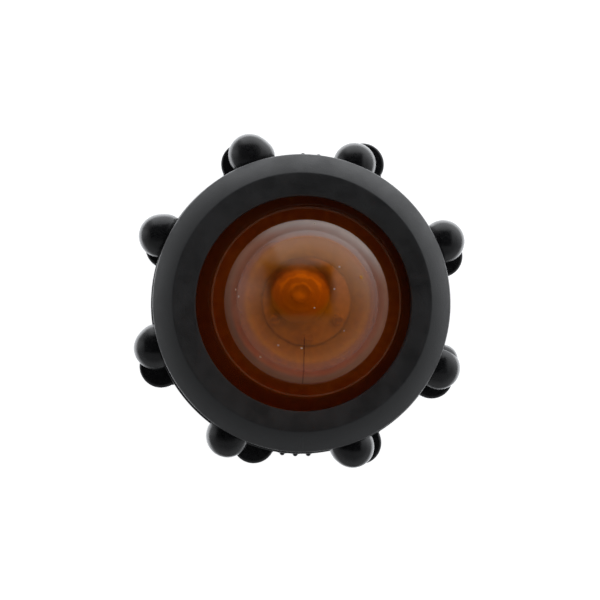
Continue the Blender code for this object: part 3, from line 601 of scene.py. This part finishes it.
# The groove's pale ring is a painted highlight on its outer wall.
LINE_DIRT, GROOVE_HIGHLIGHT = (0.03, 0.015, 0.01), (0.42, 0.27, 0.17)
LINE_DIRT_WIDTHS, LINE_DIRT_WEIGHT = (0.00005, 0.00028), 0.5
HIGHLIGHT_RING_RADIUS, HIGHLIGHT_RING_WIDTHS, HIGHLIGHT_RING_WEIGHT = GROOVE_RADIUS - 0.0006, (0.0001, 0.0004), 0.34
OCHRE_SEED = 1
# x, y and size of each speck; the last two, on the dome's far rim, are painted glints.
SPECKS_AND_GLINTS = ((0.0085, 0.0090, 0.00030), (0.0146, 0.0062, 0.00050), (0.0070, 0.0028, 0.00026), (-0.0200, 0.0030, 0.00026),
         (-0.0192, 0.0010, 0.00030), (0.0015, -0.0024, 0.00022), (-0.0083, -0.0126, 0.00030),
         (-0.0019, -0.0134, 0.00032), (-0.0131, -0.0157, 0.00034), (0.0098, -0.0086, 0.00022),
         (-0.0003, 0.0226, 0.00026), (0.0021, 0.0216, 0.00034))


def dome_lens():
    """A closed shell of rings about the lamp's axis, except the flange's edge, which is about the marker's. The
    outside is the ellipse r = R·cos t, z = groove + H·sin t, then the groove and the flange; the inside is a smaller
    ellipse. The casting's slow ripple adds 0.02 mm·sin(3a)·sin(πi/n), and a fine mould line is sunk on the near side:
    0.06 mm·exp(-(x - x0)²/w²)."""
    count = 56
    t = np.radians(np.linspace(90.0, 0.0, count))
    height = DOME_TOP - GROOVE_LEVEL
    outside = np.stack([DOME_RADIUS * np.cos(t), GROOVE_LEVEL + height * np.sin(t)], axis=-1)
    foot = rounded([tuple(outside[-2]), (DOME_RADIUS, GROOVE_LEVEL), (GROOVE_RADIUS, GROOVE_LEVEL),
                    (GROOVE_RADIUS + 0.0002, FLANGE_TOP), (FLANGE_RADIUS, FLANGE_TOP), (FLANGE_RADIUS, FLANGE_LOW),
                    (DOME_RADIUS - DOME_WALL, FLANGE_LOW)], 0.0005, 6)
    inner_height = DOME_TOP - DOME_WALL - FLANGE_LOW
    s = np.radians(np.linspace(0.0, 90.0, count))[1:]
    inside = np.stack([(DOME_RADIUS - DOME_WALL) * np.cos(s), FLANGE_LOW + inner_height * np.sin(s)], axis=-1)
    profile = np.concatenate([outside[:-2], foot, inside])
    turn = np.radians(round_angles(220, np.arange(262.0, 271.0, 0.3)))
    radius, level = profile[:, 0][:, None] + 0 * turn, profile[:, 1][:, None] + 0 * turn
    rows = np.arange(len(profile))[:, None]
    on_dome = rows < count - 3
    away = (LAMP_X + radius * np.cos(turn) - MOULD_LINE_X) / MOULD_LINE_WIDTH
    near = np.clip((MOULD_LINE_Y - LAMP_Y - radius * np.sin(turn)) / 0.003, 0, 1)
    line = MOULD_LINE_DEPTH * np.exp(-away ** 2) * near * on_dome
    ripple = CASTING_RIPPLE * np.sin(3 * turn) * on_dome * np.sin(np.pi * np.clip(rows / (count - 3), 0, 1))
    radius = np.maximum(radius - line + ripple * (radius > 0), 0.0)
    off_axis = 1.0 - (profile[:, 0] > FLANGE_RADIUS - 0.0005)[:, None]
    grid = np.stack([LAMP_X * off_axis + radius * np.cos(turn), LAMP_Y * off_axis + radius * np.sin(turn), level],
                    axis=-1)
    return skin("dome_glass", grid, loop=False, sharp=50.0)


def speck_and_glint_marks():
    """Low lens-shaped specks on the dome, the last two of them painted glints: each is a six-by-eight grid, a flattened
    ball p = c + s·(cos u·cos v, cos u·sin v, 0.5·sin u), whose centre stands on the ellipse over its (x, y)."""
    places = np.array(SPECKS_AND_GLINTS)
    reach = np.hypot(places[:, 0], places[:, 1])
    top = GROOVE_LEVEL + (DOME_TOP - GROOVE_LEVEL) * np.sqrt(np.maximum(1 - (reach / DOME_RADIUS) ** 2, 0))
    u = np.radians(np.linspace(-90, 90, 6))[:, None]
    v = np.radians(np.arange(8) * 45.0)
    ball = np.stack([np.cos(u) * np.cos(v), np.cos(u) * np.sin(v), 0.5 * np.sin(u) + 0 * v], axis=-1)
    return [skin(f"speck_and_glint_mark_{i}", np.array([LAMP_X + x, LAMP_Y + y, z - SPECK_SINK]) + SPECK_SWELL * size * ball)
            for i, (x, y, z, size) in enumerate(zip(places[:, 0], places[:, 1], top, places[:, 2]), start=1)]


def dome_film_and_sheen(tree, where, cloud):
    """The film on the dome's outside, partly road dirt and fine scratches and partly painted reflection: how much there
    is, and its shader. Both go by the point's place on the outer ellipse, whose length is 1 there once each axis is
    divided by its half-width. The film is thin near the top, thicker from 0.69 of the height down, brown on the near
    side and milky on the far, where the milky tone is a painted reflection of the window; a warm band high on the far
    side is a painted highlight."""
    rise = DOME_TOP - GROOVE_LEVEL
    place, length = placed(tree, where, (LAMP_X, LAMP_Y, GROOVE_LEVEL), (1 / DOME_RADIUS, 1 / DOME_RADIUS, 1 / rise))
    far, share = wire(tree, "ShaderNodeSeparateXYZ", ((0, place),)).outputs[1:]
    outside = product(tree, ease(tree, length, 0.93, 0.97), ease(tree, length, 1.03, 1.08, 1.0, 0.0),
                      ease(tree, share, 0.02, 0.05))
    foot = calc(tree, "ADD", ease(tree, share, 0.69, 0.61, 0.0, 0.34), ease(tree, share, 0.58, 0.30, 0.0, 0.35))
    dirt = calc(tree, "ADD", ease(tree, share, 0.97, 0.88, 0.0, 0.035), foot)
    # Painted highlight: a warm band high on the far side.
    painted_warm_band = product(tree, ease(tree, far, 0.12, 0.5), ease(tree, share, 0.61, 0.66))
    amount = calc(tree, "ADD", product(tree, dirt, outside, ease(tree, cloud, 0.25, 0.75, 0.85, 1.1)),
                  product(tree, painted_warm_band, outside, ease(tree, share, 0.88, 0.80, 0.0, 0.12)))
    lean = wire(tree, "ShaderNodeVectorMath", ((0, place), (1, (0.31, 0.95, 0.0))), operation="DOT_PRODUCT")
    brown = blend(tree, ease(tree, far, -0.8, 0.0), FILM_NEAR, FILM_SIDE)
    # Painted reflection: the film goes milky towards the window.
    tone = blend(tree, ease(tree, lean.outputs["Value"], 0.42, 0.85), brown, FILM_FAR_REFLECTION)
    tone = blend(tree, painted_warm_band, tone, PAINTED_WARM_HIGHLIGHT)
    film = wire(tree, "ShaderNodeBsdfDiffuse", (("Color", tone), ("Roughness", 0.6)))
    return amount, film.outputs[0], outside


def amber_glass():
    """Amber glass: transmission with an amber tint, the film with its painted reflection and highlight, dirt in the
    mould line, a pale ring painted in the groove's outer corner as a highlight, and straight clear passage for the
    light rays that reach the lamp inside."""
    material = bpy.data.materials.new("amber_glass")
    material.use_nodes = True
    tree = material.node_tree
    shader = tree.nodes["Principled BSDF"]
    shader.inputs["Transmission Weight"].default_value = 1.0
    shader.inputs["IOR"].default_value = 1.5
    where = wire(tree, "ShaderNodeTexCoord").outputs["Object"]
    cloud = wire(tree, "ShaderNodeTexNoise", (("Vector", where), ("Scale", 120.0), ("Detail", 4.0))).outputs[0]
    tree.links.new(blend(tree, ease(tree, cloud, 0.3, 0.7), TINT_THICK, TINT_THIN), shader.inputs["Base Color"])
    tree.links.new(ease(tree, cloud, 0.3, 0.7, 0.10, 0.16), shader.inputs["Roughness"])
    ripple = wire(tree, "ShaderNodeBump", (("Strength", 0.25), ("Distance", 0.0002), ("Height", cloud)))
    tree.links.new(ripple.outputs[0], shader.inputs["Normal"])

    film_and_sheen_amount, film, on_dome = dome_film_and_sheen(tree, where, cloud)
    x, y, z = wire(tree, "ShaderNodeSeparateXYZ", ((0, where),)).outputs
    line_amount = product(tree, band(tree, x, MOULD_LINE_X, *LINE_DIRT_WIDTHS), LINE_DIRT_WEIGHT,
                          ease(tree, y, MOULD_LINE_Y, MOULD_LINE_Y - 0.0020), on_dome)
    reach = placed(tree, where, (LAMP_X, LAMP_Y, 0.0))[1]
    # Painted highlight: a pale ring in the groove's outer corner.
    highlight_ring_amount = product(tree, band(tree, reach, HIGHLIGHT_RING_RADIUS, *HIGHLIGHT_RING_WIDTHS), HIGHLIGHT_RING_WEIGHT,
                          ease(tree, z, GROOVE_LEVEL - 0.0006, GROOVE_LEVEL - 0.0002))
    line_dirt = wire(tree, "ShaderNodeBsdfDiffuse", (("Color", (*LINE_DIRT, 1.0)),)).outputs[0]
    groove_highlight = wire(tree, "ShaderNodeBsdfDiffuse", (("Color", (*GROOVE_HIGHLIGHT, 1.0)),)).outputs[0]
    passing = wire(tree, "ShaderNodeBsdfTransparent", (("Color", (*TINT_PASSING, 1.0)),)).outputs[0]
    path = wire(tree, "ShaderNodeLightPath")
    lighting = calc(tree, "MAXIMUM", path.outputs["Is Shadow Ray"], path.outputs["Is Diffuse Ray"])
    surface = shader.outputs[0]
    for amount, layer in ((film_and_sheen_amount, film), (line_amount, line_dirt), (highlight_ring_amount, groove_highlight),
                          (lighting, passing)):
        surface = wire(tree, "ShaderNodeMixShader", ((0, amount), (1, surface), (2, layer))).outputs[0]
    tree.links.new(surface, tree.nodes["Material Output"].inputs["Surface"])
    return material


lens_glass = dome_lens()
lens_glass.data.materials.append(amber_glass())
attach(lens_glass, "base")
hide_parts("lens")

# Pale finish for the specks; on the last two it is a painted glint.
pale_speck_finish = plain_finish("pale_speck_and_glint", (0.50, 0.40, 0.32), (0.75, 0.66, 0.58), (0.5, 0.7), scale=3000.0)
ochre = plain_finish("seed_ochre", (0.60, 0.26, 0.02), (0.85, 0.42, 0.05), (0.5, 0.7), scale=3000.0)
for number, mark in enumerate(speck_and_glint_marks()):
    mark.data.materials.append(ochre if number == OCHRE_SEED else pale_speck_finish)
    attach(mark, "base")

# ---------------------------------------------------------------------------------------------------------------------
# The seals. A black rubber gasket under the lens flange keeps the lamp dry. A white acetal slip ring between the
# flange and the collar lets the collar turn.
refinish(plain_finish("gasket_rubber", (0.012, 0.012, 0.012), (0.03, 0.03, 0.03), (0.6, 0.8)), "lens_gasket")
refinish(plain_finish("slip_acetal", (0.62, 0.62, 0.60), (0.74, 0.74, 0.71), (0.36, 0.5)), "slip_ring")

# ---------------------------------------------------------------------------------------------------------------------
# The locking collar. Black nylon ring with a lip over the lens flange, four bayonet tabs in its bore and eight
# half-ball grips round it; a smaller knob beside one grip shows where it locks. It turns an eighth of a turn.
COLLAR_LOW = 0.0223
COLLAR_RADIUS = 0.0423
COLLAR_BORE = 0.0372
COLLAR_SHOULDER = 0.0286
COLLAR_LIP = 0.0314
GRIP_RADIUS = 0.0062
GRIPS = ((23.7, 0.0447, 0.0), (69, 0.0430, 0.0), (109, 0.0451, 0.17), (154.3, 0.0447, 0.15),
         (197, 0.0435, 0.12), (241, 0.0432, 0.0), (290, 0.0434, 0.10), (335, 0.0436, 0.0))
KNOB_FULLNESS = 0.87
FLARE_DEG, FLARE_SPREAD = -108.0, 30.0
INDEX_KNOB = (338.5, 0.0437, 0.0)
INDEX_KNOB_RADIUS = 0.0044


def collar_ring():
    """The turned ring: a closed profile with rounded corners. In the bore, r drops to the tabs' radius inside four
    gates of the angle."""
    tab_low, tab_top, tab_radius = 0.0228, 0.0252, 0.0354
    path = rounded([(COLLAR_BORE, 0.0262), (COLLAR_BORE, tab_top), (tab_radius, tab_top), (tab_radius, tab_low),
                    (COLLAR_BORE, tab_low), (COLLAR_BORE, COLLAR_LOW), (COLLAR_RADIUS, COLLAR_LOW),
                    (COLLAR_RADIUS, COLLAR_SHOULDER), (0.0396, COLLAR_SHOULDER), (0.0396, 0.0306), (0.0364, 0.0334),
                    (COLLAR_LIP, 0.0336), (COLLAR_LIP, 0.0322), (0.0356, 0.0322), (0.0356, 0.0290),
                    (COLLAR_BORE, 0.0290), (COLLAR_BORE, 0.0275)], 0.0004)
    edges = [m + s * EAR_HALF_WIDTH + o for m in EAR_MIDDLES for s in (-1, 1) for o in (-0.3, 0.3)]
    angles = round_angles(240, np.array(edges))
    turn = np.radians(angles)
    tabs = gate(angles, EAR_MIDDLES, EAR_HALF_WIDTH, 0.5)
    r, z = path[:, 0][:, None], path[:, 1][:, None]
    on_tab = (r < COLLAR_BORE) & (z < 0.0256)
    radius = np.where(on_tab, COLLAR_BORE + (r - COLLAR_BORE) * tabs, r + 0 * turn)
    grid = np.stack([radius * np.cos(turn), radius * np.sin(turn), z + 0 * turn], axis=-1)
    return skin("collar_ring", grid, loop=True)


def half_ball(name, degrees, reach, flare, radius, top):
    """A knob about its own axis: underneath it is flat, then a small edge curve, then the full-bodied curve
    r = R·(cos t)^0.87, z = low + H·(sin t)^0.87 up to the pole. R grows on the flank that runs out to the ring:
    R = radius·(1 + flare·exp(-((a + 108)/30)²)), with a the angle in degrees from the knob's outward direction."""
    low, edge = COLLAR_LOW + 0.0001, 0.0005
    t = np.radians(np.linspace(0.0, 90.0, 26))
    ball = np.stack([np.abs(np.cos(t)) ** KNOB_FULLNESS * (t < 1.57),
                     low + edge + (top - low - edge) * np.sin(t) ** KNOB_FULLNESS], axis=-1)
    foot = rounded([(0, low), (radius, low), (radius, low + edge)], edge * 0.9, 5) / np.array([radius, 1.0])
    profile = np.concatenate([foot[:-1], ball])
    turn = np.radians(np.arange(0.0, 360.0, 5.0))
    off = (np.degrees(turn) + 180.0) % 360.0 - 180.0
    size = radius * (1 + flare * np.exp(-((off - FLARE_DEG) / FLARE_SPREAD) ** 2))
    out = math.radians(degrees)
    grid = np.stack([reach * math.cos(out) + profile[:, 0][:, None] * size * np.cos(turn + out),
                     reach * math.sin(out) + profile[:, 0][:, None] * size * np.sin(turn + out),
                     profile[:, 1][:, None] + 0 * turn], axis=-1)
    return skin(name, grid, sharp=60.0)


collar_nylon = moulded_nylon("nylon_collar")
collar = collar_ring()
collar.data.materials.append(collar_nylon)
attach(collar, "collar")
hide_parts("locking_collar")
for number, place in enumerate(GRIPS, start=1):
    knob = half_ball(f"grip_knob_{number}", *place, GRIP_RADIUS, COLLAR_SHOULDER - 0.0001)
    knob.data.materials.append(collar_nylon)
    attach(knob, "collar")
index_knob = half_ball("index_knob", *INDEX_KNOB, INDEX_KNOB_RADIUS, COLLAR_LOW + INDEX_KNOB_RADIUS)
index_knob.data.materials.append(collar_nylon)
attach(index_knob, "collar")

# ---------------------------------------------------------------------------------------------------------------------
# The bezel. A moulded rubber bumper ring stretched over the collar's lip: a flat band round the lens, an outer band
# that slopes away, and a rounded edge. A short moulding witness crosses the sloping band on the near side.
BEZEL_RADIUS = 0.0423
BEZEL_TOP = 0.0352
BEZEL_FLAT_RADIUS = 0.0365
BEZEL_BORE = 0.0304
BEZEL_BORE_TOP = 0.0347
BEZEL_BORE_X, BEZEL_BORE_Y = 0.0004, -0.0003
SLOPE_START, SLOPE_END = 0.0004, 0.00537
SLOPE_FALL, SLOPE_SWELL = 0.475, 46.2
EDGE_ROUND, EDGE_LEVEL = 0.0012, 0.0304
WITNESS_DEG = 270.0
WITNESS_HEIGHT, WITNESS_WIDTH_DEG = 0.00005, 0.35


def bezel_ring():
    """A closed profile turned about the axis, with the bore's rings moved a little off it. The sloping band swells:
    z = top - 0.475·d - 46.2·d², with d the distance out from the flat band, and ends in a 1.2 mm quarter round. The
    witness lifts it by 0.05 mm·exp(-(a - a0)²/w²)."""
    d = np.linspace(SLOPE_START, SLOPE_END, 12)
    slope = np.stack([BEZEL_FLAT_RADIUS + d, BEZEL_TOP - SLOPE_FALL * d - SLOPE_SWELL * d * d], axis=-1)
    a = np.radians(np.linspace(44, 0, 9))
    edge = np.stack([BEZEL_RADIUS - EDGE_ROUND + EDGE_ROUND * np.cos(a), EDGE_LEVEL + EDGE_ROUND * np.sin(a)], axis=-1)
    outside = rounded([edge[-1], (BEZEL_RADIUS, 0.0289), (0.0399, 0.0289), (0.0399, 0.0308), (0.0361, 0.0339),
                       (COLLAR_LIP - 0.0003, 0.0339), (COLLAR_LIP - 0.0003, 0.0324), (BEZEL_BORE, 0.0324),
                       (BEZEL_BORE, BEZEL_BORE_TOP), (BEZEL_FLAT_RADIUS, BEZEL_TOP),
                       (BEZEL_FLAT_RADIUS + SLOPE_START, BEZEL_TOP - 0.0002)], 0.0004, 6)
    path = np.concatenate([slope, edge, outside[1:-1]])
    turn = np.radians(round_angles(360, WITNESS_DEG + np.array([-0.7, -0.5, -0.35, -0.2, 0.2, 0.35, 0.5, 0.7])))
    r, z = path[:, 0][:, None], path[:, 1][:, None]
    shift = np.clip((BEZEL_FLAT_RADIUS - r) / (BEZEL_FLAT_RADIUS - BEZEL_BORE - 0.0008), 0, 1) * (z > 0.0341)
    shift = np.where((np.abs(r - BEZEL_BORE) < 0.0003), 1.0, shift)
    on_slope = (z > 0.0310) * np.clip((r - BEZEL_FLAT_RADIUS - 0.0002) / 0.0006, 0, 1) * np.clip(
        (BEZEL_RADIUS - 0.0001 - r) / 0.0006, 0, 1)
    witness = WITNESS_HEIGHT * np.exp(-((np.degrees(turn) - WITNESS_DEG) / WITNESS_WIDTH_DEG) ** 2) * on_slope
    grid = np.stack([BEZEL_BORE_X * shift + r * np.cos(turn), BEZEL_BORE_Y * shift + r * np.sin(turn), z + witness],
                    axis=-1)
    return skin("bezel_ring", grid, loop=True)


def bumper_rubber():
    """Carbon-black rubber: matt, with a fine sandy mould grain, cloudy handling marks and pale scuffs."""
    material = bpy.data.materials.new("bumper_rubber")
    material.use_nodes = True
    tree = material.node_tree
    shader = tree.nodes["Principled BSDF"]
    shader.inputs["IOR"].default_value = 1.7
    where = wire(tree, "ShaderNodeTexCoord").outputs["Object"]
    cloud = wire(tree, "ShaderNodeTexNoise", (("Vector", where), ("Scale", 160.0), ("Detail", 6.0),
                                              ("Roughness", 0.65)))
    sand = wire(tree, "ShaderNodeTexNoise", (("Vector", where), ("Scale", 2600.0), ("Detail", 3.0),
                                             ("Roughness", 0.7)))
    tone = blend(tree, ease(tree, cloud.outputs[0], 0.3, 0.72), (0.013, 0.0133, 0.0140), (0.021, 0.0214, 0.0222))
    scuffed = blend(tree, ease(tree, sand.outputs[0], 0.6, 0.78, 0.0, 0.35), tone, (0.06, 0.06, 0.06))
    tree.links.new(scuffed, shader.inputs["Base Color"])
    tree.links.new(ease(tree, cloud.outputs[0], 0.3, 0.7, 0.42, 0.60), shader.inputs["Roughness"])
    soft = wire(tree, "ShaderNodeBump", (("Strength", 0.2), ("Distance", 0.0002), ("Height", cloud.outputs[0])))
    relief = wire(tree, "ShaderNodeBump", (("Strength", 0.6), ("Distance", 0.00008), ("Height", sand.outputs[0]),
                                           ("Normal", soft.outputs[0])))
    tree.links.new(relief.outputs[0], shader.inputs["Normal"])
    return material


bumper = bezel_ring()
bumper.data.materials.append(bumper_rubber())
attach(bumper, "collar")
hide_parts("bezel")
